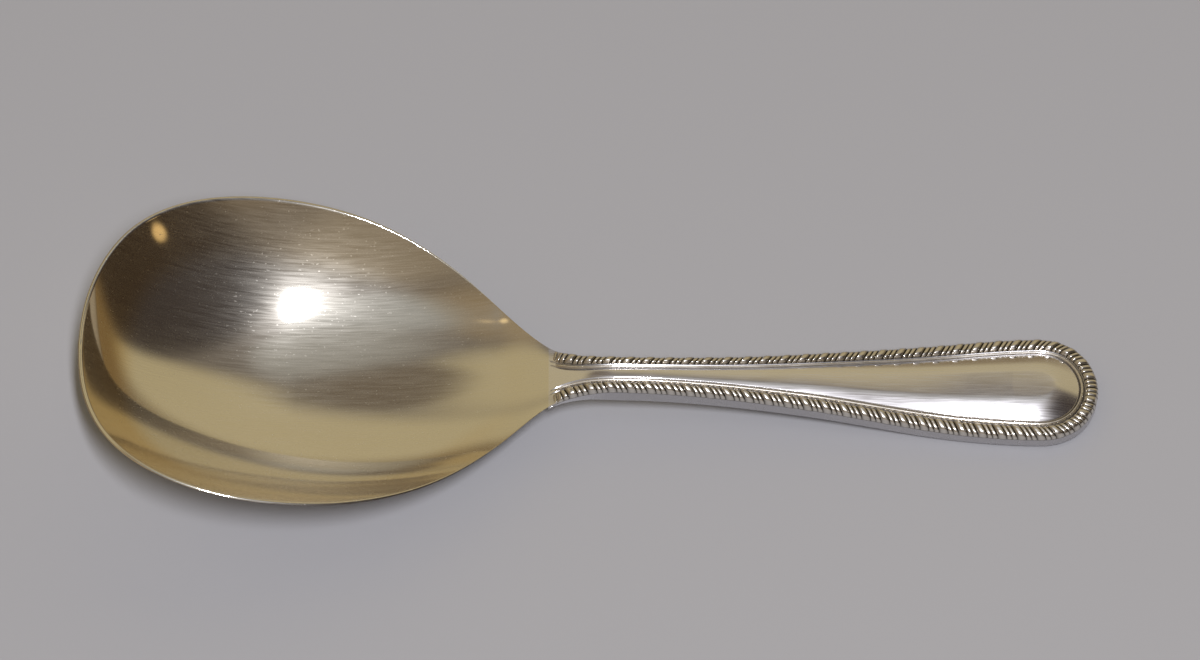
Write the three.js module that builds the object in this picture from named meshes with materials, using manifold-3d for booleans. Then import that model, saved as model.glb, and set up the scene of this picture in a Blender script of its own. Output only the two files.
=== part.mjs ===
// A silver caddy spoon, lying as it rests on a table: a deep egg-shaped bowl and a short domed handle.
// The handle is soldered to the bowl's throat, and its edge carries two gadroon strips and a plain reed.
// Millimetres, +Z up, table at z = 0. The spoon lies along X with the bowl's tip at -X.
import * as THREE from 'three';
import { mergeVertices } from 'three/addons/utils/BufferGeometryUtils.js';
import Module from 'manifold-3d';

const wasm = await Module();
wasm.setup();

// Lengths and widths in plan
const overallLength = 96;
const bowlLength = 44;
const bowlWidth = 33;
const widestFromTip = 18.3;
const throatWidth = 6.4;
const shoulderAngle = 34;
const neckFromThroat = 6.6;
const neckWidth = 3.6;
const endWidth = 10.7;
const endRounding = 5.6;

// Heights of the edge above the table, from the tip of the bowl to the end of the handle
const tipHeight = 10.4;
const crownHeight = 11.4;
const sideHeight = 10.8;
const middleHeight = 7.9;
const shoulderHeight = 4.35;
const throatHeight = 4.2;
const neckHeight = 4.7;
const stemHeight = 3.3;

// Where those heights are reached, as shares of the bowl's length and then of the handle's
const crownAt = 0.11;
const sideAt = 0.27;
const middleAt = 0.59;
const shoulderAt = 0.89;
const neckAt = 0.12;
const stemAt = 0.46;
const footAt = 0.77;

// The bowl's shell
const floorThickness = 1;
const rimWidth = 0.4;
const deepestFromTip = 20;
const lipShare = 0.2;
const lipPower = 8;
const sectionFullness = 0.6;
const footDepth = 0.12;
const throatDip = 0.25;
const wallFill = 6;

// The handle's plate, and the heel that laps under the bowl
const stemThickness = 2.3;
const throatEdgeThickness = 0.6;
const endThickness = 1.8;
const domeRise = 0.3;
const borderSlope = 0.08;
const panelSlope = 0.52;
const ridgeFlat = 0.36;
const ridgeRounding = 1;
const ridgeFade = 12;
const ridgeEnd = 2;
const edgeChamfer = 0.5;
const chamferShare = 0.45;
const heelLength = 9;
const heelWidth = 4.4;
const heelTipThickness = 0.3;
const heelRoot = 0.6;

// The applied borders
const reedWidth = 0.32;
const reedHeight = 0.2;
const reedInsetThroat = 1.45;
const reedInsetNeck = 1.05;
const reedInsetEnd = 1.5;
const borderGroove = 0.15;
const gadroonHeight = 0.65;
const gadroonValley = 0.3;
const gadroonStart = 0.3;
const gadroonFade = 1.6;
const fatLobe = 0.85;
const thinLobe = 0.5;
const lobeLean = 0.6;
const leanStart = 1.5;
const leanFade = 6;
const solderGap = 0.05;

// How far each curve of the outline runs on along its end tangents, as a share of its span
const tipPull = 0.85;
const tipToWidestPull = 0.4;
const widestPull = 0.6;
const shoulderPull = 0.22;
const throatPull = 0.08;
const neckInPull = 0.66;
const neckOutPull = 0.45;
const endInPull = 0.25;
const endOutPull = 0.72;
const endPull = 0.41;

// How finely the curves are cut into facets
const rimSteps = 28;
const throatSteps = 8;
const edgeSteps = 44;
const heelSteps = 8;
const innerShares = [0, 0.12, 0.26, 0.41, 0.56, 0.71, 0.86, 1];
const outerShares = [1, 0.88, 0.75, 0.62, 0.49, 0.36, 0.23, 0.11, 0];
const widthSteps = 400;
const panelShares = [1, 1 - ridgeFlat, 0.42, 0.2, 0];
const underShares = [0.35, 0.65, 1];
const heelShares = [-1, -0.5, 0, 0.5, 1];
const weldDistance = 1e-4;

// Stations along the spoon that follow from those sizes
const tipX = -overallLength / 2;
const endX = overallLength / 2;
const widestX = tipX + widestFromTip;
const deepestX = tipX + deepestFromTip;
const throatX = tipX + bowlLength;
const neckX = throatX + neckFromThroat;
const roundX = endX - endRounding;
const handleLength = endX - throatX;
const footX = throatX + footAt * handleLength;

// The edge's heights, smooth between stations and level where two neighbours are equal
const edgeStations = [
  [tipX, tipHeight],
  [tipX + crownAt * bowlLength, crownHeight],
  [tipX + sideAt * bowlLength, sideHeight],
  [tipX + middleAt * bowlLength, middleHeight],
  [tipX + shoulderAt * bowlLength, shoulderHeight],
  [throatX, throatHeight],
  [throatX + neckAt * handleLength, neckHeight],
  [throatX + stemAt * handleLength, stemHeight],
  [footX, endThickness],
  [endX, endThickness],
];

function stationSlope(i) {
  const before = edgeStations[Math.max(i - 1, 0)];
  const after = edgeStations[Math.min(i + 1, edgeStations.length - 1)];
  const level = edgeStations[i][1] === after[1];
  return level ? 0 : (after[1] - before[1]) / (after[0] - before[0]);
}

function edgeHeight(x) {
  let i = 0;
  while (i < edgeStations.length - 2 && x > edgeStations[i + 1][0]) i += 1;
  const [x0, z0] = edgeStations[i];
  const [x1, z1] = edgeStations[i + 1];
  const span = x1 - x0;
  const u = THREE.MathUtils.clamp((x - x0) / span, 0, 1);
  const rise = u * u * (3 - 2 * u);
  const leave = u * (1 - u) * (1 - u) * span * stationSlope(i);
  const arrive = u * u * (u - 1) * span * stationSlope(i + 1);
  return z0 + (z1 - z0) * rise + leave + arrive;
}

// Half of the plan outline on the +Y side: the bowl from its tip, then the handle from the throat
const shoulder = THREE.MathUtils.degToRad(shoulderAngle);
const shoulderRun = new THREE.Vector2(Math.cos(shoulder), -Math.sin(shoulder));
const tip = new THREE.Vector2(tipX, 0);
const widest = new THREE.Vector2(widestX, bowlWidth / 2);
const throat = new THREE.Vector2(throatX, throatWidth / 2);
const neck = new THREE.Vector2(neckX, neckWidth / 2);
const round = new THREE.Vector2(roundX, endWidth / 2);
const end = new THREE.Vector2(endX, 0);

function along(point, direction, length) {
  return point.clone().addScaledVector(direction, length);
}

const forward = new THREE.Vector2(1, 0);
const outward = new THREE.Vector2(0, 1);

function bowlSide(inset) {
  const start = along(tip, forward, inset);
  const side = along(widest, outward, -inset);
  const span = throatX - widestX;
  const path = new THREE.CurvePath();
  path.add(new THREE.CubicBezierCurve(
    start,
    along(start, outward, tipPull * side.y),
    along(side, forward, -tipToWidestPull * widestFromTip),
    side,
  ));
  path.add(new THREE.CubicBezierCurve(
    side,
    along(side, forward, widestPull * span),
    along(throat, shoulderRun, -shoulderPull * span),
    throat,
  ));
  return path;
}

const outerRim = bowlSide(0);
const innerRim = bowlSide(rimWidth);

const handleSide = new THREE.CurvePath();
handleSide.add(new THREE.CubicBezierCurve(
  throat,
  along(throat, shoulderRun, throatPull * neckFromThroat),
  along(neck, forward, -neckInPull * neckFromThroat),
  neck,
));
handleSide.add(new THREE.CubicBezierCurve(
  neck,
  along(neck, forward, neckOutPull * (roundX - neckX)),
  along(round, forward, -endInPull * (roundX - neckX)),
  round,
));
handleSide.add(new THREE.CubicBezierCurve(
  round,
  along(round, forward, endOutPull * endRounding),
  along(end, outward, endPull * round.y),
  end,
));

// Facets between rows of points; u runs along a row and v from row to row, and u x v faces outwards
function pushFacet(facets, a, b, c) {
  const shortest = Math.min(a.distanceTo(b), b.distanceTo(c), c.distanceTo(a));
  if (shortest > weldDistance) facets.push(a, b, c);
}

function skin(rows, loop) {
  const facets = [];
  const count = rows[0].length;
  for (let v = 0; v < rows.length - 1; v += 1) {
    for (let u = 0; u < (loop ? count : count - 1); u += 1) {
      const next = (u + 1) % count;
      pushFacet(facets, rows[v][u], rows[v][next], rows[v + 1][next]);
      pushFacet(facets, rows[v][u], rows[v + 1][next], rows[v + 1][u]);
    }
  }
  return facets;
}

// A flat end across a bar that runs along X there, or along Y where the border turns round the end
function endCap(points, facing) {
  const flat = points.map((p) => new THREE.Vector2(facing.x ? p.y : p.x, p.z));
  const facets = [];
  for (const [i, j, k] of THREE.ShapeUtils.triangulateShape(flat, [])) {
    const [a, b, c] = [points[i], points[j], points[k]];
    const normal = b.clone().sub(a).cross(c.clone().sub(a));
    if (normal.dot(facing) > 0) pushFacet(facets, a, b, c);
    else pushFacet(facets, a, c, b);
  }
  return facets;
}

function solid(facets) {
  const geometry = new THREE.BufferGeometry().setFromPoints(facets);
  return mergeVertices(geometry, weldDistance);
}

function mirrored(facets) {
  const flipped = facets.map((p) => new THREE.Vector3(p.x, -p.y, p.z));
  const out = [];
  for (let i = 0; i < flipped.length; i += 3) out.push(flipped[i], flipped[i + 2], flipped[i + 1]);
  return out;
}

function joined(geometries) {
  const bodies = geometries.map((geometry) => new wasm.Manifold(new wasm.Mesh({
    numProp: 3,
    vertProperties: new Float32Array(geometry.attributes.position.array),
    triVerts: new Uint32Array(geometry.index.array),
  })));
  const mesh = wasm.Manifold.union(bodies).getMesh();
  const geometry = new THREE.BufferGeometry();
  geometry.setAttribute('position', new THREE.BufferAttribute(mesh.vertProperties, 3));
  geometry.setIndex(new THREE.BufferAttribute(mesh.triVerts, 1));
  return geometry;
}

// Half the width of the bowl's outline at a station, from a fine run of points along it
function widthFinder(path) {
  const points = path.getSpacedPoints(widthSteps);
  return (x) => {
    const after = points.findIndex((point) => point.x >= x);
    if (after < 0) return points[widthSteps].y;
    if (after === 0) return points[0].y;
    const [a, b] = [points[after - 1], points[after]];
    return THREE.MathUtils.mapLinear(x, a.x, b.x, a.y, b.y);
  };
}

const outerWidth = widthFinder(outerRim);
const innerWidth = widthFinder(innerRim);

// The bowl's floor line: a parabola from the tip, steeper at the lip, then a gentler one up to the throat
const throatFloor = throatHeight - throatDip;
const climbRun = throatX - deepestX;
const throatClimb = throatFloor - floorThickness;
const throatFloorSlope = 2 * throatClimb / climbRun;

function floorHeight(x, startX) {
  const run = x - deepestX;
  if (run >= 0) return floorThickness + throatClimb * (run / climbRun) ** 2;
  const back = run / (startX - deepestX);
  const rise = (1 - lipShare) * back * back + lipShare * back ** lipPower;
  return floorThickness + (tipHeight - floorThickness) * rise;
}

// Each section across the bowl rises from the floor line to the rim: a parabola at the tip and the throat,
// and a flatter floor with steeper sides between, most so two thirds of the way along, where the bulge is one
const fullestScale = 27 / 4;

function acrossBowl(x, y, middle, width) {
  const along = THREE.MathUtils.clamp((x - tipX) / bowlLength, 0, 1);
  const bulge = fullestScale * along * along * (1 - along);
  const power = 2 + sectionFullness * bulge;
  const share = width > 0 ? Math.abs(y) / width : 0;
  return middle + (edgeHeight(x) - middle) * share ** power;
}

function insideHeight(x, y) {
  return acrossBowl(x, y, floorHeight(x, tipX + rimWidth), innerWidth(x));
}

function outsideHeight(x, y) {
  const left = THREE.MathUtils.clamp((throatX - x) / bowlLength, 0, 1);
  const wall = (floorThickness + footDepth) * (1 - left ** wallFill);
  return Math.max(0, acrossBowl(x, y, floorHeight(x, tipX) - wall, outerWidth(x)));
}

// The bowl: a shell that rises from a small flat foot to its rim, open to the handle at the throat
const bowlEndX = throatX - solderGap;

function fromDeepest(plan, share, height) {
  const x = deepestX + (Math.min(plan.x, bowlEndX) - deepestX) * share;
  const y = plan.y * share;
  return new THREE.Vector3(x, y, height(x, y));
}

function bowlBoundary(path) {
  const side = path.getSpacedPoints(rimSteps);
  const mouth = [];
  for (let k = 1; k < throatSteps; k += 1) {
    mouth.push(new THREE.Vector2(throatX, throat.y * (1 - 2 * k / throatSteps)));
  }
  const back = side.slice(1).reverse().map((point) => new THREE.Vector2(point.x, -point.y));
  return [...side, ...mouth, ...back];
}

function makeBowl() {
  const inner = bowlBoundary(innerRim);
  const outer = bowlBoundary(outerRim);
  const inside = innerShares.map((share) => inner.map((point) => fromDeepest(point, share, insideHeight)));
  const outside = outerShares.map((share) => outer.map((point) => fromDeepest(point, share, outsideHeight)));
  return solid(skin([...inside, ...outside], true));
}

// The handle's dome leaves the throat at the slope at which the bowl's floor climbs to it
const throatStation = edgeStations.findIndex(([x]) => x === throatX);
const domeClimb = domeRise + throatDip;
const domeRun = domeClimb / (throatFloorSlope - stationSlope(throatStation));

// The handle's edge at a share of its length from the throat, with the spine point that it faces.
// The spine runs along with the edge and comes to rest, smoothly, at the centre of the round end.
const edgeLength = handleSide.getLength();
const roundPanel = endWidth / 2 - reedInsetEnd - reedWidth / 2;

function spineStation(x) {
  return x - ridgeEnd * Math.log1p(Math.exp((x - roundX) / ridgeEnd));
}

function edgeFrame(share, sideSign = 1) {
  const plan = handleSide.getPoint(share);
  const spineX = spineStation(plan.x);
  const reach = Math.hypot(plan.x - spineX, plan.y);
  const dome = domeRise - domeClimb * Math.exp(-(spineX - throatX) / domeRun);
  const panel = reach - reedInset(plan.x) - reedWidth / 2;
  const roof = THREE.MathUtils.smoothstep(spineX, throatX, throatX + ridgeFade);
  return { x: plan.x, y: plan.y * sideSign, spineX, reach, dome, panel, roof, height: edgeHeight(plan.x) };
}

// Above its dome the top is a low roof, gentle under the borders, steeper on the panel and flat at its ridge.
// Round the end the panel's slope eases where it is longer, so that all sides meet the ridge at one height.
function roofHeight(frame, out) {
  const width = Math.min(frame.panel, roundPanel);
  const within = Math.max(Math.min(out / frame.panel, 1) - ridgeFlat, 0) * width;
  const slope = Math.hypot((1 - ridgeFlat) * width, ridgeRounding) - Math.hypot(within, ridgeRounding);
  const border = borderSlope * (frame.reach - Math.max(out, frame.panel));
  return frame.roof * (border + panelSlope * slope);
}

function topPoint(frame, inset, lift = 0) {
  const share = 1 - inset / frame.reach;
  return new THREE.Vector3(
    frame.spineX + (frame.x - frame.spineX) * share,
    frame.y * share,
    frame.height + frame.dome * (1 - share * share) + roofHeight(frame, frame.reach - inset) + lift,
  );
}

// The underside is flat along the stem and rises to thin edges at the throat, as the bowl's outside does
function underPoint(frame, inset, lift = 0) {
  const taper = THREE.MathUtils.clamp((frame.x - throatX) / (footX - throatX), 0, 1);
  const thickness = THREE.MathUtils.lerp(stemThickness, endThickness, taper);
  const flare = 1 - THREE.MathUtils.smoothstep(frame.x, throatX, neckX);
  const keel = (stemThickness - throatEdgeThickness) * flare;
  const share = 1 - inset / frame.reach;
  const point = topPoint(frame, inset);
  point.z = Math.max(0, frame.height - thickness + keel * share * share) + lift;
  return point;
}

// The chamfer along the lower edge, which shrinks where the plate thins towards the throat
function chamferAt(frame) {
  const thickness = frame.height - underPoint(frame, 0).z;
  return Math.min(edgeChamfer, chamferShare * thickness);
}

function reedInset(x) {
  const flare = 1 - THREE.MathUtils.smoothstep(x, throatX, neckX);
  const spread = THREE.MathUtils.smoothstep(x, neckX, roundX);
  return reedInsetNeck + (reedInsetThroat - reedInsetNeck) * flare + (reedInsetEnd - reedInsetNeck) * spread;
}

function panelInset(frame, share) {
  const border = reedInset(frame.x) + reedWidth / 2;
  return border + (frame.reach - border) * share;
}

function wholeEdge() {
  const frames = [];
  for (let k = 0; k <= edgeSteps; k += 1) frames.push(edgeFrame(k / edgeSteps));
  for (let k = edgeSteps - 1; k >= 0; k -= 1) frames.push(edgeFrame(k / edgeSteps, -1));
  return frames;
}

function makePlate() {
  const frames = wholeEdge();
  const rows = panelShares.map((share) => frames.map((f) => topPoint(f, panelInset(f, share))));
  rows.push(frames.map((f) => topPoint(f, 0)));
  rows.push(frames.map((f) => underPoint(f, 0, chamferAt(f))));
  rows.push(frames.map((f) => underPoint(f, chamferAt(f))));
  for (const share of underShares) rows.push(frames.map((f) => underPoint(f, f.reach * share)));
  const farEnd = rows.map((row) => row[0]);
  const nearEnd = rows.slice(1, -1).map((row) => row[row.length - 1]).reverse();
  const face = endCap([...farEnd, ...nearEnd], new THREE.Vector3(-1, 0, 0));
  return solid([...skin(rows, false), ...face]);
}

// The heel: a tongue below the bowl's throat that follows the bowl's outside and fades to a round tip
function heelPoint(back, across, drop) {
  const x = bowlEndX - back * heelLength;
  const y = across * heelWidth / 2 * Math.sqrt(1 - back * back);
  return new THREE.Vector3(x, y, outsideHeight(x, y) - solderGap - drop);
}

function heelLine(across, rootDepth) {
  const points = [];
  for (let k = heelSteps; k >= 0; k -= 1) {
    const back = k / heelSteps;
    const depth = rootDepth ? THREE.MathUtils.lerp(rootDepth, heelTipThickness, back) : 0;
    points.push(heelPoint(back, across, depth));
  }
  const root = points[heelSteps].clone();
  root.x = throatX + heelRoot;
  return [...points, root];
}

function makeHeel() {
  const underside = throatHeight - stemThickness;
  const rootDepth = outsideHeight(bowlEndX, 0) - underside - 2 * solderGap;
  const above = heelShares.map((across) => heelLine(across, 0));
  const below = heelShares.map((across) => heelLine(across, rootDepth)).reverse();
  const root = [...above, ...below].map((row) => row[row.length - 1]);
  const facets = skin([...above, ...below, above[0]], false);
  return solid([...facets, ...endCap(root, new THREE.Vector3(1, 0, 0))]);
}

// The reed: one half-round wire all round the handle, its section as shares of half its width and its height
const reedSection = [[1, 0], [0.6, 0.8], [0, 1], [-0.6, 0.8], [-1, 0]];

function makeReed() {
  const frames = wholeEdge();
  const rows = reedSection.map(([across, up]) => frames.map((f) => topPoint(
    f,
    reedInset(f.x) + across * reedWidth / 2,
    solderGap + up * reedHeight,
  )));
  const start = rows.map((row) => row[0]);
  const finish = rows.map((row) => row[row.length - 1]);
  const back = new THREE.Vector3(-1, 0, 0);
  return solid([...skin([...rows, rows[0]], false), ...endCap(start, back), ...endCap(finish, back)]);
}

// A gadroon strip: a fat lobe and two thin ones, again and again, from the throat to the handle's end.
// Its section is in shares of the strip's width, from the reed outwards, and of a lobe's height.
const gadroonSection = [[0, 0], [0.1, 0.8], [0.5, 1], [0.9, 0.8], [1, 0]];

function gadroonRings() {
  const length = edgeLength - solderGap / 2;
  const pitch = fatLobe + 2 * thinLobe;
  const groups = Math.round(length / pitch);
  const stretch = length / (groups * pitch);
  const rings = [];
  let at = 0;
  for (let group = 0; group < groups; group += 1) {
    for (const width of [fatLobe, thinLobe, thinLobe]) {
      rings.push({ at, height: gadroonValley });
      rings.push({ at: at + width * stretch / 2, height: gadroonHeight });
      at += width * stretch;
    }
  }
  rings.push({ at: length, height: gadroonValley });
  return rings;
}

function gadroonPoint(ring, [across, up]) {
  const left = edgeLength - ring.at;
  const fade = Math.min(1, ring.at / gadroonFade);
  const lean = lobeLean * Math.min(1, ring.at / leanStart, (left - solderGap / 2) / leanFade);
  const frame = edgeFrame((ring.at + lean * (across - 0.5)) / edgeLength);
  const width = reedInset(frame.x) - reedWidth / 2 - borderGroove;
  const height = gadroonStart * ring.height + (1 - gadroonStart) * ring.height * fade;
  return topPoint(frame, width * (1 - across), solderGap + up * height);
}

function gadroonFacets() {
  const rings = gadroonRings();
  const rows = gadroonSection.map((place) => rings.map((ring) => gadroonPoint(ring, place)));
  const start = rows.map((row) => row[0]);
  const finish = rows.map((row) => row[row.length - 1]);
  return [
    ...skin([...rows, rows[0]], false),
    ...endCap(start, new THREE.Vector3(-1, 0, 0)),
    ...endCap(finish, new THREE.Vector3(0, -1, 0)),
  ];
}

function silver(color, roughness) {
  return new THREE.MeshStandardMaterial({ color, roughness, metalness: 1 });
}

const spoon = new THREE.Group();

function addPiece(name, geometry, material) {
  geometry.computeVertexNormals();
  const mesh = new THREE.Mesh(geometry, material);
  mesh.name = name;
  spoon.add(mesh);
}

addPiece('bowl', makeBowl(), silver(0xb9b1a0, 0.2));
addPiece('handle', joined([makePlate(), makeHeel()]), silver(0xb4ad9c, 0.18));
addPiece('reed_border', makeReed(), silver(0xc4bdac, 0.18));
addPiece('gadroon_border_left', solid(gadroonFacets()), silver(0xa39a88, 0.22));
addPiece('gadroon_border_right', solid(mirrored(gadroonFacets())), silver(0xa39a88, 0.22));

export default spoon;
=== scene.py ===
"""A silver caddy spoon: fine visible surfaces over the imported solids, on a plain pale floor.

Lengths are written in millimetres, as on the solids, and turned to metres by MM.
"""
import math

import bmesh
import bpy
import numpy as np
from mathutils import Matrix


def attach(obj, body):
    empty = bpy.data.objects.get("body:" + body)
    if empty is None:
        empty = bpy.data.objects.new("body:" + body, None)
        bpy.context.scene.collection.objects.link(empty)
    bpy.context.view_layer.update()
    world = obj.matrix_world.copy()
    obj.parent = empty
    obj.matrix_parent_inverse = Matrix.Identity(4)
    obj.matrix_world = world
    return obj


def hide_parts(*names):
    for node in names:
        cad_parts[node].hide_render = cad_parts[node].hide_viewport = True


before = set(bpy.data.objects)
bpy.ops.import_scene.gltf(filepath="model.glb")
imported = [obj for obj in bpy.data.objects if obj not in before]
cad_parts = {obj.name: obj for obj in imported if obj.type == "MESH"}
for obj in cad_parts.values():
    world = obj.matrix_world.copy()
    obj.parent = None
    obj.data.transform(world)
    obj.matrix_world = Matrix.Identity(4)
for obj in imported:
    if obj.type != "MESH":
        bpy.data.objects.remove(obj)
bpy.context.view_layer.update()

MM = 0.001

# Plan sizes of the spoon, which lies along X with the bowl's tip at -X
LENGTH = 96.0
BOWL_LENGTH = 44.0
BOWL_WIDTH = 33.0
WIDEST_FROM_TIP = 18.3
THROAT_WIDTH = 6.4
SHOULDER_ANGLE = math.radians(34.0)
NECK_FROM_THROAT = 6.6
NECK_WIDTH = 3.6
END_WIDTH = 10.7
END_ROUNDING = 5.6

# Heights of the edge above the table, from the bowl's tip to the handle's end
TIP_HEIGHT = 10.4
CROWN_HEIGHT = 11.4
SIDE_HEIGHT = 10.8
MIDDLE_HEIGHT = 7.9
SHOULDER_HEIGHT = 4.35
THROAT_HEIGHT = 4.2
NECK_HEIGHT = 4.7
STEM_HEIGHT = 3.3

# Where those heights are reached, as shares of the bowl's length and then of the handle's
CROWN_AT = 0.11
SIDE_AT = 0.27
MIDDLE_AT = 0.59
SHOULDER_AT = 0.89
NECK_AT = 0.12
STEM_AT = 0.46
FOOT_AT = 0.77

# The bowl's shell
FLOOR_THICKNESS = 1.0
RIM_WIDTH = 0.4
RIM_CROWN = 0.09
DEEPEST_FROM_TIP = 20.0
LIP_SHARE = 0.2
LIP_POWER = 8
SECTION_FULLNESS = 0.6
FOOT_DEPTH = 0.12
THROAT_DIP = 0.25
WALL_FILL = 6

# The handle's plate and the heel under the bowl
STEM_THICKNESS = 2.3
THROAT_EDGE_THICKNESS = 0.6
END_THICKNESS = 1.8
DOME_RISE = 0.3
BORDER_SLOPE = 0.08
PANEL_SLOPE = 0.52
RIDGE_FLAT = 0.36
RIDGE_ROUNDING = 1.0
RIDGE_FADE = 12.0
RIDGE_END = 2.0
EDGE_ROUNDING = 0.7
EDGE_ROUNDING_SHARE = 0.45
HEEL_LENGTH = 9.0
HEEL_WIDTH = 4.4
HEEL_TIP_THICKNESS = 0.3
HEEL_ROOT = 0.6
HEEL_FULLNESS = 0.6
SOLDER_GAP = 0.05
HEEL_SEAM = SOLDER_GAP / 4

# The reed and the grooves beside it
REED_WIDTH = 0.32
REED_HEIGHT = 0.2
REED_INSET_THROAT = 1.45
REED_INSET_NECK = 1.05
REED_INSET_END = 1.5
REED_FADE = 1.5
BORDER_SINK = 0.2
BORDER_GROOVE = 0.15
GROOVE_DEPTH = 0.1
GROOVE_SPREAD = 0.07
GROOVE_FROM_REED = 0.05
# Half the bare panel's width where the handle's end begins to round
ROUND_PANEL = END_WIDTH / 2 - REED_INSET_END - REED_WIDTH / 2

# The lobes of the gadroon strips
GADROON_HEIGHT = 0.62
GADROON_VALLEY = 0.2
GADROON_FADE = 1.6
FAT_LOBE = 0.85
THIN_LOBE = 0.5
LOBE_SQUARENESS = 4
LOBE_PLUMPNESS = 3.5
LOBE_DROP = 0.08
LOBE_OVERHANG = 0.03
LOBE_SINK = 0.02
LOBE_BASE = 0.1
LOBE_LEAN = 0.6
LEAN_START = 1.5
LEAN_FADE = 6.0

# How far each curve of the outline runs on along its end tangents, as a share of its span
TIP_PULL = 0.85
TIP_TO_WIDEST_PULL = 0.4
WIDEST_PULL = 0.6
SHOULDER_PULL = 0.22
THROAT_PULL = 0.08
NECK_IN_PULL = 0.66
NECK_OUT_PULL = 0.45
END_IN_PULL = 0.25
END_OUT_PULL = 0.72
END_PULL = 0.41

# Where the silver is darkened: tarnish in a band inside the bowl's lip, and painted shade on the handle's
# wall and underside and in the valleys between lobes
TARNISH_FULL = 2.5
TARNISH_END = 5.0
TARNISH_SIDES = 0.45
TIP_STRETCH = 4.0
SIDE_STRETCH = 16.0
CLEAN_STRETCH = 12.0
WALL_PAINTED_SHADE = 0.35
VALLEY_SPREAD = 0.7

# How finely the bowl is cut. Its rings are shares of the way out to the rim, over the rim and back
CURVE_STEPS = 3000
RIM_POINTS = 170
MOUTH_POINTS = 24
INSIDE_RINGS = np.concatenate([np.linspace(0.0, 0.975, 100), [0.985, 0.992, 0.997]])
RIM_RINGS = np.linspace(0.0, 1.0, 9)
OUTSIDE_RINGS = np.concatenate([[0.997, 0.99], np.linspace(0.98, 0.0, 60)])
# At the very tip the bowl has no width, and this one stands in for it
LEAST_WIDTH = 1e-6

# How finely the handle and its borders are cut. Fine rows reach a margin past the grooves on both sides
EDGE_POINTS = 420
PANEL_ROWS = 30
PANEL_CROWDING = 1.3
FINE_ROWS = 24
FINE_MARGIN_IN = 0.4
FINE_MARGIN_OUT = 0.1
LEDGE_SHARES = np.linspace(0.8, 0.0, 5)
WALL_ROWS = 6
CORNER_ROWS = 6
UNDER_SHARES = np.linspace(0.08, 1.0, 14)
HEEL_STATIONS = 40
HEEL_TURNS = 48
REED_TURNS = 12
LOBE_STEPS = 12
LOBE_TURNS = 14

# Points this close are joined, and edges sharper than this angle stay sharp
WELD = 0.0005
SHARP_EDGE = math.radians(60.0)

# Stations along the spoon
TIP_X = -LENGTH / 2
END_X = LENGTH / 2
WIDEST_X = TIP_X + WIDEST_FROM_TIP
DEEPEST_X = TIP_X + DEEPEST_FROM_TIP
THROAT_X = TIP_X + BOWL_LENGTH
NECK_X = THROAT_X + NECK_FROM_THROAT
ROUND_X = END_X - END_ROUNDING
HANDLE_LENGTH = END_X - THROAT_X
FOOT_X = THROAT_X + FOOT_AT * HANDLE_LENGTH
EDGE_STATIONS = np.array([
    (TIP_X, TIP_HEIGHT),
    (TIP_X + CROWN_AT * BOWL_LENGTH, CROWN_HEIGHT),
    (TIP_X + SIDE_AT * BOWL_LENGTH, SIDE_HEIGHT),
    (TIP_X + MIDDLE_AT * BOWL_LENGTH, MIDDLE_HEIGHT),
    (TIP_X + SHOULDER_AT * BOWL_LENGTH, SHOULDER_HEIGHT),
    (THROAT_X, THROAT_HEIGHT),
    (THROAT_X + NECK_AT * HANDLE_LENGTH, NECK_HEIGHT),
    (THROAT_X + STEM_AT * HANDLE_LENGTH, STEM_HEIGHT),
    (FOOT_X, END_THICKNESS),
    (END_X, END_THICKNESS),
])


def station_slopes():
    """The edge's slope at each station, from its two neighbours, or level where the next is equal."""
    ends = np.vstack([EDGE_STATIONS[:1], EDGE_STATIONS, EDGE_STATIONS[-1:]])
    rise = ends[2:] - ends[:-2]
    level = np.append(np.diff(EDGE_STATIONS[:, 1]) == 0, True)
    return np.where(level, 0.0, rise[:, 1] / rise[:, 0])


EDGE_SLOPES = station_slopes()
THROAT_EDGE_SLOPE = EDGE_SLOPES[np.searchsorted(EDGE_STATIONS[:, 0], THROAT_X)]


def smooth(x, low, high):
    """A smooth step from 0 at low to 1 at high."""
    u = np.clip((x - low) / (high - low), 0.0, 1.0)
    return u * u * (3 - 2 * u)


def edge_height(x):
    """The edge's height at a station, a cubic between stations that keeps their slopes."""
    xs, zs = EDGE_STATIONS.T
    i = np.clip(np.searchsorted(xs, x) - 1, 0, len(xs) - 2)
    span = xs[i + 1] - xs[i]
    u = np.clip((x - xs[i]) / span, 0.0, 1.0)
    rise = u * u * (3 - 2 * u)
    leave = u * (1 - u) ** 2 * span * EDGE_SLOPES[i]
    arrive = u * u * (u - 1) * span * EDGE_SLOPES[i + 1]
    return zs[i] + (zs[i + 1] - zs[i]) * rise + leave + arrive


def curve(start, leave, arrive, end):
    """A cubic curve as a fine run of points: it sets out towards leave and comes in to end from arrive."""
    t = np.linspace(0.0, 1.0, CURVE_STEPS + 1)[:, None]
    corners = [np.asarray(corner) for corner in (start, leave, arrive, end)]
    weights = ((1 - t) ** 3, 3 * (1 - t) ** 2 * t, 3 * (1 - t) * t ** 2, t ** 3)
    return sum(weight * corner for weight, corner in zip(weights, corners))


def measured(path):
    """The length along a run of points at each of them."""
    steps = np.linalg.norm(np.diff(path, axis=0), axis=1)
    return np.concatenate([[0.0], np.cumsum(steps)])


def at_length(path, lengths):
    """The points of a path at given lengths along it."""
    run = measured(path)
    return np.stack([np.interp(lengths, run, path[:, k]) for k in (0, 1)], axis=-1)


FORWARD = np.array([1.0, 0.0])
OUTWARD = np.array([0.0, 1.0])
SHOULDER_RUN = np.array([math.cos(SHOULDER_ANGLE), -math.sin(SHOULDER_ANGLE)])
THROAT = np.array([THROAT_X, THROAT_WIDTH / 2])
NECK = np.array([NECK_X, NECK_WIDTH / 2])
ROUND = np.array([ROUND_X, END_WIDTH / 2])
END = np.array([END_X, 0.0])


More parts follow.
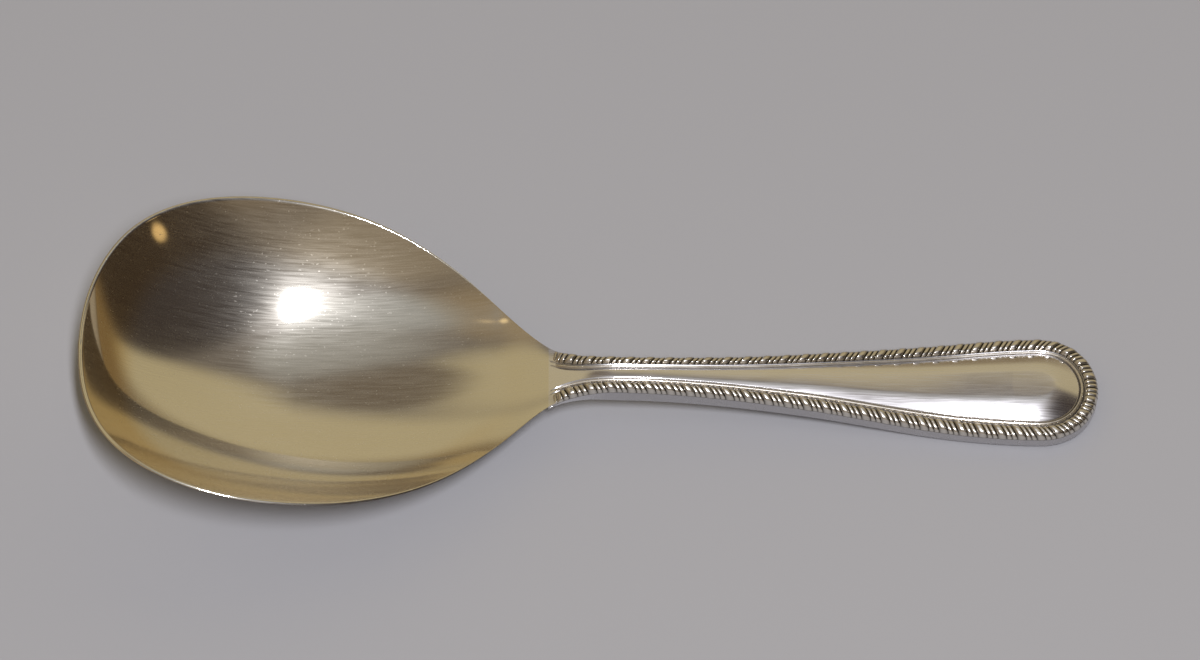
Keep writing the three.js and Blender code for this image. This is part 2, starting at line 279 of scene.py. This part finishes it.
def bowl_side(inset):
    """Half the bowl's outline from the tip to the throat, moved in by inset at the tip and the sides."""
    tip = np.array([TIP_X + inset, 0.0])
    widest = np.array([WIDEST_X, BOWL_WIDTH / 2 - inset])
    span = THROAT_X - WIDEST_X
    front = curve(
        tip,
        tip + TIP_PULL * widest[1] * OUTWARD,
        widest - TIP_TO_WIDEST_PULL * WIDEST_FROM_TIP * FORWARD,
        widest,
    )
    back = curve(
        widest,
        widest + WIDEST_PULL * span * FORWARD,
        THROAT - SHOULDER_PULL * span * SHOULDER_RUN,
        THROAT,
    )
    return np.vstack([front, back[1:]])


def handle_side():
    """Half the handle's outline from the throat round to its end."""
    stem = ROUND_X - NECK_X
    flare = curve(
        THROAT,
        THROAT + THROAT_PULL * NECK_FROM_THROAT * SHOULDER_RUN,
        NECK - NECK_IN_PULL * NECK_FROM_THROAT * FORWARD,
        NECK,
    )
    shaft = curve(
        NECK,
        NECK + NECK_OUT_PULL * stem * FORWARD,
        ROUND - END_IN_PULL * stem * FORWARD,
        ROUND,
    )
    cap = curve(
        ROUND,
        ROUND + END_OUT_PULL * END_ROUNDING * FORWARD,
        END + END_PULL * ROUND[1] * OUTWARD,
        END,
    )
    return np.vstack([flare, shaft[1:], cap[1:]])


OUTER_RIM = bowl_side(0.0)
INNER_RIM = bowl_side(RIM_WIDTH)
HANDLE_EDGE = handle_side()
EDGE_LENGTH = measured(HANDLE_EDGE)[-1]
STRIP_LENGTH = EDGE_LENGTH - SOLDER_GAP / 2

# The bowl's floor at the throat, and the dome of the handle that carries its slope on
THROAT_FLOOR = THROAT_HEIGHT - THROAT_DIP
CLIMB_RUN = THROAT_X - DEEPEST_X
THROAT_CLIMB = THROAT_FLOOR - FLOOR_THICKNESS
THROAT_FLOOR_SLOPE = 2 * THROAT_CLIMB / CLIMB_RUN
DOME_CLIMB = DOME_RISE + THROAT_DIP
DOME_RUN = DOME_CLIMB / (THROAT_FLOOR_SLOPE - THROAT_EDGE_SLOPE)


def floor_height(x, start_x):
    """The bowl's floor line: parabolas down from the tip and up to the throat, with a steeper lip.

    The lip is a share of the rise at the tip that goes as a high power instead of the square.
    """
    run = x - DEEPEST_X
    back = np.maximum(-run, 0.0) / (DEEPEST_X - start_x)
    ahead = np.maximum(run, 0.0) / CLIMB_RUN
    rise = (1 - LIP_SHARE) * back ** 2 + LIP_SHARE * back ** LIP_POWER
    return FLOOR_THICKNESS + (TIP_HEIGHT - FLOOR_THICKNESS) * rise + THROAT_CLIMB * ahead ** 2


def across_bowl(x, y, middle, rim):
    """A section from the floor line up to the rim: a parabola at the tip and the throat, fuller between.

    The power of the way out is 2 plus a hump t * t * (1 - t) along the bowl, which is 4/27 at its highest.
    """
    along = np.clip((x - TIP_X) / BOWL_LENGTH, 0.0, 1.0)
    power = 2 + SECTION_FULLNESS * along ** 2 * (1 - along) * 27 / 4
    width = np.maximum(np.interp(x, rim[:, 0], rim[:, 1]), LEAST_WIDTH)
    share = np.clip(np.abs(y) / width, 0.0, 1.0)
    return middle + (edge_height(x) - middle) * share ** power


def inside_height(x, y):
    """Height of the bowl's inside."""
    return across_bowl(x, y, floor_height(x, TIP_X + RIM_WIDTH), INNER_RIM)


def outside_height(x, y):
    """Height of the bowl's outside, cut off level at the foot."""
    left = np.clip((THROAT_X - x) / BOWL_LENGTH, 0.0, 1.0)
    wall = (FLOOR_THICKNESS + FOOT_DEPTH) * (1 - left ** WALL_FILL)
    return np.maximum(0.0, across_bowl(x, y, floor_height(x, TIP_X) - wall, OUTER_RIM))


def grid_faces(rows, columns, loop):
    """Quads of a grid of rows by columns, facing along (column step) x (row step)."""
    index = np.arange(rows * columns).reshape(rows, columns)
    if loop:
        index = np.hstack([index, index[:, :1]])
    corners = (index[:-1, :-1], index[:-1, 1:], index[1:, 1:], index[1:, :-1])
    return np.stack([corner.ravel() for corner in corners], axis=1)


def add_piece(name, grids, stands_for, material):
    """One object from grids of points, welded where they meet, that stands for a node of the frame.

    Each grid comes with whether its rows are loops and with the tarnish and painted shade at each point, from
    0 to 1, which the mesh keeps as the attribute that the silver reads.
    """
    points = []
    faces = []
    start = 0
    for grid, loop, tarnish_and_shade in grids:
        rows, columns = grid.shape[:2]
        faces.append(grid_faces(rows, columns, loop) + start)
        points.append(np.hstack([grid.reshape(-1, 3) * MM, tarnish_and_shade.reshape(-1, 1)]))
        start += rows * columns
    points = np.vstack(points)
    mesh = bpy.data.meshes.new(name)
    mesh.from_pydata(points[:, :3], [], np.vstack(faces).tolist())
    recess = mesh.attributes.new("recess", "FLOAT", "POINT")
    recess.data.foreach_set("value", points[:, 3])
    work = bmesh.new()
    work.from_mesh(mesh)
    bmesh.ops.remove_doubles(work, verts=work.verts, dist=WELD * MM)
    bmesh.ops.dissolve_degenerate(work, edges=work.edges, dist=WELD * MM)
    bmesh.ops.holes_fill(work, edges=work.edges, sides=0)
    bmesh.ops.recalc_face_normals(work, faces=work.faces)
    work.to_mesh(mesh)
    work.free()
    mesh.shade_smooth()
    mesh.set_sharp_from_angle(angle=SHARP_EDGE)
    mesh.materials.append(material)
    piece = bpy.data.objects.new(name, mesh)
    bpy.context.scene.collection.objects.link(piece)
    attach(piece, "root")
    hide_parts(stands_for)


def bowl_boundary(path):
    """A closed run of points round the bowl: one side, the mouth at the throat, the other side."""
    lengths = np.linspace(0.0, measured(path)[-1], RIM_POINTS + 1)
    side = at_length(path, lengths)
    across = THROAT[1] * np.linspace(1.0, -1.0, MOUTH_POINTS + 1)[1:-1]
    mouth = np.stack([np.full_like(across, THROAT_X), across], axis=1)
    back = side[:0:-1] * np.array([1.0, -1.0])
    return np.vstack([side, mouth, back])


def lip_tarnish(x, from_rim):
    """Tarnish in a band inside the rim: full at the tip, weaker along the sides and none at the throat."""
    band = 1 - smooth(from_rim, TARNISH_FULL, TARNISH_END)
    sides = 1 - (1 - TARNISH_SIDES) * smooth(x, TIP_X + TIP_STRETCH, TIP_X + SIDE_STRETCH)
    return band * sides * (1 - smooth(x, THROAT_X - CLEAN_STRETCH, THROAT_X))


def bowl_grid():
    """The bowl's shell as rings: inside from the deepest point to the rim, over the rim, and down outside.

    A ring at a share s of the way lies at deepest + s (boundary - deepest) in plan, and its height is the
    inside's or the outside's there. The rim's top is a low arch between the two boundaries.
    """
    deepest = np.array([DEEPEST_X, 0.0])
    inner = bowl_boundary(INNER_RIM)
    outer = bowl_boundary(OUTER_RIM)
    over = RIM_RINGS[:, None]

    def rings(boundary, shares, height):
        plan = deepest + shares[:, None, None] * (boundary - deepest)
        return np.dstack([plan, height(plan[..., 0], plan[..., 1])])

    rim_plan = inner + over[..., None] * (outer - inner)
    width = np.linalg.norm(outer - inner, axis=1)
    arch = RIM_CROWN * (1 - (2 * over - 1) ** 2) * width / RIM_WIDTH
    low = inside_height(inner[:, 0], inner[:, 1])
    high = outside_height(outer[:, 0], outer[:, 1])
    inside = rings(inner, INSIDE_RINGS, inside_height)
    rim = np.dstack([rim_plan, low + over * (high - low) + arch])
    outside = rings(outer, OUTSIDE_RINGS, outside_height)
    grid = np.vstack([inside, rim, outside])
    tarnish_and_shade = np.zeros(grid.shape[:2])
    from_rim = (1 - INSIDE_RINGS[:, None]) * np.linalg.norm(inner - deepest, axis=1)
    tarnish_and_shade[:len(inside)] = lip_tarnish(inside[..., 0], from_rim)
    return grid, tarnish_and_shade


def reed_inset(x):
    """How far the reed's middle lies in from the edge."""
    flare = 1 - smooth(x, THROAT_X, NECK_X)
    spread = smooth(x, NECK_X, ROUND_X)
    return (REED_INSET_NECK + (REED_INSET_THROAT - REED_INSET_NECK) * flare
            + (REED_INSET_END - REED_INSET_NECK) * spread)


def edge_frame(lengths, side=1.0):
    """The handle's edge at lengths from the throat, with the spine point that each place faces.

    The spine point lies straight across from its place and comes softly to a stop where the end begins to
    round: its x is a soft minimum of the place's own x and the round end's start. The reach is the distance
    between the two, and the panel is how much of it is bare. The dome is how far the middle rises above the
    edge, and the roof is how much of the low roof has formed.
    """
    plan = at_length(HANDLE_EDGE, lengths)
    spine_x = plan[:, 0] - RIDGE_END * np.log1p(np.exp((plan[:, 0] - ROUND_X) / RIDGE_END))
    reach = np.hypot(plan[:, 0] - spine_x, plan[:, 1])
    dome = DOME_RISE - DOME_CLIMB * np.exp(-(spine_x - THROAT_X) / DOME_RUN)
    height = edge_height(plan[:, 0])
    panel = reach - reed_inset(plan[:, 0]) - REED_WIDTH / 2
    roof = smooth(spine_x, THROAT_X, THROAT_X + RIDGE_FADE)
    return {"x": plan[:, 0], "y": plan[:, 1] * side, "spine": spine_x, "reach": reach, "dome": dome,
            "height": height, "panel": panel, "roof": roof}


def roof_height(place, out):
    """The low roof above the dome: gentle under the borders, steeper on the panel, flat at the ridge.

    Past the flat the panel falls along a hyperbola, which rounds the turn and tends to a steady slope.
    """
    width = np.minimum(place["panel"], ROUND_PANEL)
    within = np.maximum(np.minimum(out / place["panel"], 1.0) - RIDGE_FLAT, 0.0) * width
    border = BORDER_SLOPE * (place["reach"] - np.maximum(out, place["panel"]))
    foot = np.hypot((1 - RIDGE_FLAT) * width, RIDGE_ROUNDING)
    panel = PANEL_SLOPE * (foot - np.hypot(within, RIDGE_ROUNDING))
    return place["roof"] * (border + panel)


def top_point(place, inset, lift=0.0):
    """A point on the handle's top, inset from its edge: the dome falls as the square of the way out."""
    share = 1 - inset / place["reach"]
    x = place["spine"] + (place["x"] - place["spine"]) * share
    roof = roof_height(place, place["reach"] - inset)
    z = place["height"] + place["dome"] * (1 - share ** 2) + roof + lift
    return np.stack(np.broadcast_arrays(x, place["y"] * share, z), axis=-1)


def under_point(place, inset, lift=0.0):
    """A point on the underside, flat along the stem and rising to thin edges at the throat."""
    taper = np.clip((place["x"] - THROAT_X) / (FOOT_X - THROAT_X), 0.0, 1.0)
    thickness = STEM_THICKNESS + (END_THICKNESS - STEM_THICKNESS) * taper
    keel = (STEM_THICKNESS - THROAT_EDGE_THICKNESS) * (1 - smooth(place["x"], THROAT_X, NECK_X))
    share = 1 - inset / place["reach"]
    point = top_point(place, inset)
    point[..., 2] = np.maximum(0.0, place["height"] - thickness + keel * share ** 2) + lift
    return point


def whole_edge():
    """The handle's edge from the throat round the end and back to the throat."""
    lengths = np.linspace(0.0, EDGE_LENGTH, EDGE_POINTS + 1)
    left = edge_frame(lengths)
    right = edge_frame(lengths[-2::-1], -1.0)
    return {key: np.concatenate([left[key], right[key]]) for key in left}


def from_throat(place):
    """The length along the whole edge to the nearer of its two ends, which are at the throat."""
    along = measured(np.stack([place["x"], place["y"]], axis=1))
    return np.minimum(along, along[-1] - along)


def plate_grid():
    """The handle's plate in rows from its spine over the top, down the rounded edge and back below.

    Across the top a row lies at an inset from the edge. Two narrow grooves flank the reed, each a dip that
    falls off as exp(-d * d) with the distance d from its middle. The lower corner is a quarter round.
    """
    place = whole_edge()
    middle = reed_inset(place["x"])
    border = middle + REED_WIDTH / 2 + FINE_MARGIN_IN
    ledge = middle - REED_WIDTH / 2 - BORDER_GROOVE - FINE_MARGIN_OUT
    panel = np.linspace(1.0, 0.0, PANEL_ROWS)[:, None] ** PANEL_CROWDING
    fine = np.linspace(0.0, 1.0, FINE_ROWS + 1)[1:, None]
    insets = np.vstack([
        border + (place["reach"] - border) * panel,
        border + (ledge - border) * fine,
        ledge * LEDGE_SHARES[:, None],
    ])
    off = np.abs(insets - middle) - REED_WIDTH / 2 - GROOVE_FROM_REED
    groove = np.exp(-(off / GROOVE_SPREAD) ** 2) * smooth(from_throat(place), 0.0, REED_FADE)
    top = top_point(place, insets, -GROOVE_DEPTH * groove)
    thickness = place["height"] - under_point(place, 0.0)[..., 2]
    rounding = np.minimum(EDGE_ROUNDING, EDGE_ROUNDING_SHARE * thickness)
    down = np.linspace(0.0, 1.0, WALL_ROWS + 1)[1:, None]
    wall = top_point(place, np.zeros_like(down), (rounding - thickness) * down)
    turn = np.linspace(0.0, np.pi / 2, CORNER_ROWS + 1)[1:, None]
    corner = under_point(place, rounding * (1 - np.cos(turn)), rounding * (1 - np.sin(turn)))
    under = under_point(place, rounding + (place["reach"] - rounding) * UNDER_SHARES[:, None])
    grid = np.vstack([top, wall, corner, under])
    tarnish_and_shade = np.zeros(grid.shape[:2])
    tarnish_and_shade[:len(top)] = groove
    # Painted shade: the wall, the rounded corner and the underside are darkened towards the grey shade
    # colour, fading in from the throat to the neck
    tarnish_and_shade[len(top):] = WALL_PAINTED_SHADE * smooth(place["x"], THROAT_X, NECK_X)
    return grid, tarnish_and_shade


def heel_grid():
    """The heel: a tongue that follows the bowl's outside back from the throat and thins to a round tip.

    In plan it is half an ellipse. Its section is flat against the bowl and a full arch below.
    """
    back = np.linspace(1.0, 0.0, HEEL_STATIONS)
    turn = np.linspace(0.0, 2 * np.pi, HEEL_TURNS + 1)[:, None]
    y = HEEL_WIDTH / 2 * np.sqrt(1 - back ** 2) * np.cos(turn)
    x = np.broadcast_to(THROAT_X - SOLDER_GAP - back * HEEL_LENGTH, y.shape)
    underside = THROAT_HEIGHT - STEM_THICKNESS
    root = outside_height(THROAT_X - SOLDER_GAP, 0.0) - underside - 2 * SOLDER_GAP
    depth = root + (HEEL_TIP_THICKNESS - root) * back
    below = np.maximum(0.0, -np.sin(turn)) ** HEEL_FULLNESS
    z = outside_height(x, y) - HEEL_SEAM - depth * below
    grid = np.stack([x, y, z], axis=-1)
    last = grid[:, -1:].copy()
    last[..., 0] = THROAT_X + HEEL_ROOT
    middle = np.broadcast_to(last.mean(axis=0, keepdims=True), last.shape)
    return np.concatenate([grid, last, middle], axis=1)


def reed_grid():
    """The reed: a half-round wire all round the handle that sinks into the throat at both ends."""
    place = whole_edge()
    turn = np.linspace(0.0, np.pi, REED_TURNS + 1)[:, None]
    height = (REED_HEIGHT + BORDER_SINK) * smooth(from_throat(place), 0.0, REED_FADE) - BORDER_SINK
    inset = reed_inset(place["x"]) + REED_WIDTH / 2 * np.cos(turn)
    over = top_point(place, inset, -GROOVE_DEPTH + (height + GROOVE_DEPTH) * np.sin(turn))
    base = top_point(place, inset[::-1], -GROOVE_DEPTH - BORDER_SINK)
    return np.concatenate([over, base, over[:1]])


def lobe_places():
    """Each lobe's start and width along the strip: one fat lobe and two thin ones, again and again."""
    pitch = FAT_LOBE + 2 * THIN_LOBE
    groups = round(STRIP_LENGTH / pitch)
    widths = np.tile([FAT_LOBE, THIN_LOBE, THIN_LOBE], groups) * STRIP_LENGTH / (groups * pitch)
    return np.concatenate([[0.0], np.cumsum(widths)[:-1]]), widths


def gadroon_grid(side):
    """A strip of slanted lobes: each is a plump ridge, rounded off at its inner end and over the edge.

    Along the edge a lobe swells as the root of 1 - |u| ** plumpness, and across the strip it arches as the
    root of 1 - |v| ** squareness, where u and v run from -1 to 1. Rows farther out are shifted along the
    edge, which makes the lobes lean. The base below closes the strip.
    """
    starts, widths = lobe_places()
    step = np.arange(LOBE_STEPS) / LOBE_STEPS
    along = np.append((starts[:, None] + widths[:, None] * step).ravel(), STRIP_LENGTH)
    swell = np.sqrt(1 - np.abs(2 * step - 1) ** LOBE_PLUMPNESS)
    ridge = np.append(np.tile(swell, len(starts)), 0.0)
    fat = np.append(np.repeat(np.sqrt(widths / FAT_LOBE), LOBE_STEPS), 1.0)
    fade = smooth(along, 0.0, GADROON_FADE)
    lobe = fade * fat * (GADROON_VALLEY + (GADROON_HEIGHT - GADROON_VALLEY) * ridge)
    left = STRIP_LENGTH - along
    lean = LOBE_LEAN * np.minimum(1.0, np.minimum(along / LEAN_START, left / LEAN_FADE))
    sunk = LOBE_SINK + BORDER_SINK * (1 - fade)
    drop = LOBE_DROP * lobe / GADROON_HEIGHT
    rows = []
    base = []
    for angle in np.linspace(0.0, np.pi, LOBE_TURNS + 1):
        out = -np.cos(angle)
        over = max(out, 0.0)
        up = np.sqrt(1 - np.abs(out) ** LOBE_SQUARENESS)
        place = edge_frame(np.clip(along + lean * out / 2, 0.0, EDGE_LENGTH), side)
        width = reed_inset(place["x"]) - REED_WIDTH / 2 - BORDER_GROOVE
        inset = width * (1 - out) / 2 - LOBE_OVERHANG * over
        hang = drop * over
        rows.append(top_point(place, inset, up * (lobe + hang) - hang - sunk))
        base.append(top_point(place, inset, -hang - sunk - LOBE_BASE))
    rows = np.stack(rows)
    base = np.stack(base[::-1])
    # Painted shade: the cuts between lobes are darkened towards the dark brown shade colour, and the hidden
    # base fully
    valley = np.broadcast_to((1 - ridge) ** VALLEY_SPREAD * fade, rows.shape[:2])
    grid = np.concatenate([rows, base, rows[:1]])
    tarnish_and_shade = np.concatenate([valley, np.ones_like(valley), valley[:1]])
    return (grid, tarnish_and_shade) if side > 0 else (grid[:, ::-1], tarnish_and_shade[:, ::-1])


def linear(code):
    """A colour written as sRGB hex, as linear red, green, blue and alpha by the sRGB curve."""
    parts = np.array([int(code[k:k + 2], 16) for k in (1, 3, 5)]) / 255
    parts = np.where(parts <= 0.04045, parts / 12.92, ((parts + 0.055) / 1.055) ** 2.4)
    return (*parts, 1.0)


# Sockets of a Mix node for colours, which share their names with those of its other kinds
MIX_SHARE = 0
MIX_FROM = 6
MIX_TO = 7
MIX_COLOUR = 2


def node(tree, kind, links=(), **settings):
    """Adds a node, sets its properties and inputs, and links sockets into its inputs."""
    made = tree.nodes.new(kind)
    for key, value in settings.items():
        if hasattr(made, key):
            setattr(made, key, value)
        else:
            made.inputs[key.replace("_", " ")].default_value = value
    for socket, name in links:
        tree.links.new(socket, made.inputs[name])
    return made


# Wear on the silver. Real lines and nicks are finer than a pixel, so they are drawn coarse enough to show
WEAR_LENGTH = 3.0
WEAR_WIDTH = 0.13
WEAR_FROM = 0.3
WEAR_TO = 0.7
WEAR_CONTRAST = 0.5
SPECK_LENGTH = 0.28
SPECK_WIDTH = 0.17
SPECK_FROM = 0.75
SPECK_TO = 0.85
HAZE_ROUGHNESS = 0.385
HAZE_STRETCH = 0.26
DULL_PATCH = 6.0
DULL_CONTRAST = 0.2


def streaks(tree, length, width, detail):
    """Noise in streaks along the spoon, of a length and width in millimetres."""
    place = node(tree, "ShaderNodeTexCoord")
    stretch = node(tree, "ShaderNodeMapping", [(place.outputs["Object"], "Vector")],
                   vector_type="TEXTURE", Scale=(length * MM, width * MM, length * MM))
    return node(tree, "ShaderNodeTexNoise", [(stretch.outputs["Vector"], "Vector")],
                Scale=1.0, Detail=detail).outputs["Fac"]


def polished_silver(name, tone, shade, roughness, haze_share, speck_share, tarnish_dulling):
    """Silver polished by hand: a mirror that fine wear along the spoon hazes, darker where tarnish and
    painted shade lie.
    """
    material = bpy.data.materials.new(name)
    material.use_nodes = True
    tree = material.node_tree
    shader = tree.nodes["Principled BSDF"]
    shader.inputs["Metallic"].default_value = 1.0
    # Handling leaves patches a few millimetres wide that are duller than the rest
    patches = streaks(tree, DULL_PATCH, DULL_PATCH, detail=2.0)
    dull = node(tree, "ShaderNodeMapRange", [(patches, "Value")],
                To_Min=roughness * (1 - DULL_CONTRAST), To_Max=roughness * (1 + DULL_CONTRAST))
    # Tarnish stays where polishing doesn't reach, and painted shade lies on the handle's wall and between the
    # lobes; both are darker than the metal, and in grooves dull too
    recess = node(tree, "ShaderNodeAttribute", attribute_name="recess")
    dulled = node(tree, "ShaderNodeMath", [(recess.outputs["Fac"], 0), (dull.outputs["Result"], 2)],
                  operation="MULTIPLY_ADD")
    dulled.inputs[1].default_value = tarnish_dulling
    tree.links.new(dulled.outputs["Value"], shader.inputs["Roughness"])
    mix = node(tree, "ShaderNodeMix", [(recess.outputs["Fac"], MIX_SHARE)], data_type="RGBA")
    mix.inputs[MIX_FROM].default_value = linear(tone)
    mix.inputs[MIX_TO].default_value = linear(shade)
    colour = mix.outputs[MIX_COLOUR]
    tree.links.new(colour, shader.inputs["Base Color"])
    # Rubbing along the spoon leaves fine lines, which spread a glow across them about each highlight
    along = node(tree, "ShaderNodeCombineXYZ", X=1.0)
    haze = node(tree, "ShaderNodeBsdfAnisotropic",
                [(colour, "Color"), (along.outputs["Vector"], "Tangent")],
                Roughness=HAZE_ROUGHNESS, Anisotropy=HAZE_STRETCH)
    # Some lines are stronger than others, and nicks among them glint as bright specks
    rubbed = streaks(tree, WEAR_LENGTH, WEAR_WIDTH, detail=2.0)
    lines = node(tree, "ShaderNodeMapRange", [(rubbed, "Value")], From_Min=WEAR_FROM, From_Max=WEAR_TO,
                 To_Min=haze_share * (1 - WEAR_CONTRAST), To_Max=haze_share * (1 + WEAR_CONTRAST))
    nicks = streaks(tree, SPECK_LENGTH, SPECK_WIDTH, detail=0.0)
    specks = node(tree, "ShaderNodeMapRange", [(nicks, "Value")], From_Min=SPECK_FROM, From_Max=SPECK_TO,
                  To_Max=speck_share)
    wear = node(tree, "ShaderNodeMath", [(lines.outputs["Result"], 0), (specks.outputs["Result"], 1)],
                operation="ADD")
    both = node(tree, "ShaderNodeMixShader", [(wear.outputs["Value"], "Fac"), (shader.outputs["BSDF"], 1),
                                              (haze.outputs["BSDF"], 2)])
    tree.links.new(both.outputs["Shader"], tree.nodes["Material Output"].inputs["Surface"])
    return material


# The bowl's wide hollow is a clean mirror with glinting nicks; its tarnish is thin and warm
bowl_silver = polished_silver("bowl_silver_polished_by_hand", tone="#e9e4d8", shade="#e1cda6",
                              roughness=0.068, haze_share=0.16, speck_share=0.3, tarnish_dulling=0.0)
# The handle is rubbed by fingers, so its highlights spread more; its grooves are grey and dull, and its wall
# and underside carry painted shade in the same grey
handle_silver = polished_silver("handle_silver_polished_by_hand", tone="#edebec", shade="#65605c",
                                roughness=0.06, haze_share=0.22, speck_share=0.0, tarnish_dulling=0.35)
# The borders are worn soft on their ridges, with dark brown painted shade in the cuts between them
border_silver = polished_silver("border_silver_chased_and_polished", tone="#e4dfd6", shade="#40372c",
                                roughness=0.1, haze_share=0.4, speck_share=0.0, tarnish_dulling=0.0)

bowl_points, bowl_tarnish = bowl_grid()
add_piece("bowl_shell", [(bowl_points, True, bowl_tarnish)], "bowl", bowl_silver)

plate_points, plate_tarnish_and_shade = plate_grid()
heel_points = heel_grid()
add_piece("handle_plate", [
    (plate_points, False, plate_tarnish_and_shade),
    (heel_points, False, np.zeros(heel_points.shape[:2])),
], "handle", handle_silver)

reed_points = reed_grid()
add_piece("reed_wire", [(reed_points, False, np.zeros(reed_points.shape[:2]))],
          "reed_border", border_silver)

for name, node_name, side in (("gadroon_left", "gadroon_border_left", 1.0),
                              ("gadroon_right", "gadroon_border_right", -1.0)):
    lobe_points, lobe_shade = gadroon_grid(side)
    add_piece(name, [(lobe_points, False, lobe_shade)], node_name, border_silver)


# The floor lies a hair below the spoon's feet, so that the two don't share a plane
FLOOR_HALF = 1500 * MM
FLOOR_LEVEL = -0.02 * MM
FLOOR_COLOUR = "#afafb2"
FLOOR_ROUGHNESS = 0.9


def add_floor():
    """A plain pale floor: one square of matt paper."""
    signs = ((-1, -1), (1, -1), (1, 1), (-1, 1))
    corners = [(x * FLOOR_HALF, y * FLOOR_HALF, FLOOR_LEVEL) for x, y in signs]
    mesh = bpy.data.meshes.new("floor")
    mesh.from_pydata(corners, [], [(0, 1, 2, 3)])
    floor = bpy.data.objects.new("floor", mesh)
    bpy.context.scene.collection.objects.link(floor)
    material = bpy.data.materials.new("floor_plain_paper")
    material.use_nodes = True
    shader = material.node_tree.nodes["Principled BSDF"]
    shader.inputs["Base Color"].default_value = linear(FLOOR_COLOUR)
    shader.inputs["Roughness"].default_value = FLOOR_ROUGHNESS
    mesh.materials.append(material)


def sky_direction(azimuth, elevation):
    """The unit vector towards a place in the room; azimuth 0 is behind the camera, 90 at the handle's end."""
    a, e = math.radians(azimuth), math.radians(elevation)
    return np.array([math.sin(a) * math.cos(e), -math.cos(a) * math.cos(e), math.sin(e)])


# The room that the silver mirrors: soft round patches of light and shade on a plain base
ROOM_BASE = "#6c635a"
ROOM_PATCHES = [
    # azimuth, elevation, radius of the full patch, radius where it ends, colour
    (160.0, 8.0, 44.0, 60.0, "#b6a885"),
    (-78.0, 42.0, 12.0, 34.0, "#97866b"),
    (-126.0, 44.0, 14.0, 26.0, "#b6a885"),
    (-14.0, 34.0, 6.0, 26.0, "#887e70"),
    (-36.0, 74.0, 2.0, 20.0, "#9a9996"),
    (-158.0, 61.0, 1.0, 10.0, "#655849"),
    (180.0, 82.0, 3.0, 22.0, "#918e88"),
    (0.0, -90.0, 94.0, 113.0, "#7f6d50"),
    (64.0, 30.0, 26.0, 46.0, "#3a322e"),
    (49.0, 17.0, 0.3, 3.4, "#ffe2ac"),
    (-73.0, 62.0, 0.3, 2.1, "#ffe3b0"),
]


def build_room():
    """The world: a plain base colour with soft round patches about given directions."""
    world = bpy.data.worlds.new("room")
    bpy.context.scene.world = world
    world.use_nodes = True
    tree = world.node_tree
    place = node(tree, "ShaderNodeTexCoord")
    base = node(tree, "ShaderNodeRGB")
    base.outputs["Color"].default_value = linear(ROOM_BASE)
    colour = base.outputs["Color"]
    for azimuth, elevation, full, edge, code in ROOM_PATCHES:
        facing = node(tree, "ShaderNodeVectorMath", [(place.outputs["Generated"], 0)],
                      operation="DOT_PRODUCT")
        facing.inputs[1].default_value = sky_direction(azimuth, elevation)
        share = node(tree, "ShaderNodeMapRange", [(facing.outputs["Value"], "Value")],
                     interpolation_type="SMOOTHERSTEP",
                     From_Min=math.cos(math.radians(edge)), From_Max=math.cos(math.radians(full)))
        mix = node(tree, "ShaderNodeMix", [(share.outputs["Result"], MIX_SHARE), (colour, MIX_FROM)],
                   data_type="RGBA")
        mix.inputs[MIX_TO].default_value = linear(code)
        colour = mix.outputs[MIX_COLOUR]
    tree.links.new(colour, tree.nodes["Background"].inputs["Color"])


def aim(thing, target, azimuth, elevation, distance):
    """Puts a lamp or camera at a direction and distance from a target and turns it to look at the target."""
    away = distance * sky_direction(azimuth, elevation)
    thing.location = np.asarray(target) + away
    flat = math.hypot(away[0], away[1])
    thing.rotation_euler = (math.atan2(flat, away[2]), 0.0, math.atan2(away[0], -away[1]))


LAMP_TARGET = (0.0, 0.0, 5 * MM)
LAMP_AZIMUTH = 8.0
LAMP_ELEVATION = 66.3
LAMP_DISTANCE = 700 * MM
LAMP_WIDTH = 50 * MM
LAMP_HEIGHT = 240 * MM
LAMP_POWER = 3.6
LAMP_COLOUR = "#f6f7ff"


def add_lamp():
    """A soft lamp, an upright oval, whose mirror image is the bowl's bright spot."""
    data = bpy.data.lights.new("key_lamp", "AREA")
    data.shape = "ELLIPSE"
    data.size = LAMP_WIDTH
    data.size_y = LAMP_HEIGHT
    data.energy = LAMP_POWER
    data.color = linear(LAMP_COLOUR)[:3]
    lamp = bpy.data.objects.new("key_lamp", data)
    bpy.context.scene.collection.objects.link(lamp)
    aim(lamp, LAMP_TARGET, LAMP_AZIMUTH, LAMP_ELEVATION, LAMP_DISTANCE)


# The focus is the focal length in pixels of a picture of the given width
CAMERA_TARGET = (0.855 * MM, 7.587 * MM, 0.0)
CAMERA_AZIMUTH = 0.0
CAMERA_ELEVATION = 60.0
CAMERA_DISTANCE = 650 * MM
CAMERA_NEAR = 50 * MM
CAMERA_FOCUS = 6808.0
IMAGE_WIDTH = 1200.0
SENSOR = 36.0


def add_camera():
    """The camera at the photograph's height and distance, with its long lens."""
    data = bpy.data.cameras.new("camera")
    data.sensor_width = SENSOR
    data.lens = SENSOR * CAMERA_FOCUS / IMAGE_WIDTH
    data.clip_start = CAMERA_NEAR
    camera = bpy.data.objects.new("camera", data)
    bpy.context.scene.collection.objects.link(camera)
    aim(camera, CAMERA_TARGET, CAMERA_AZIMUTH, CAMERA_ELEVATION, CAMERA_DISTANCE)
    bpy.context.scene.camera = camera


add_floor()
build_room()
add_lamp()
add_camera()
bpy.context.scene.view_settings.view_transform = "Standard"
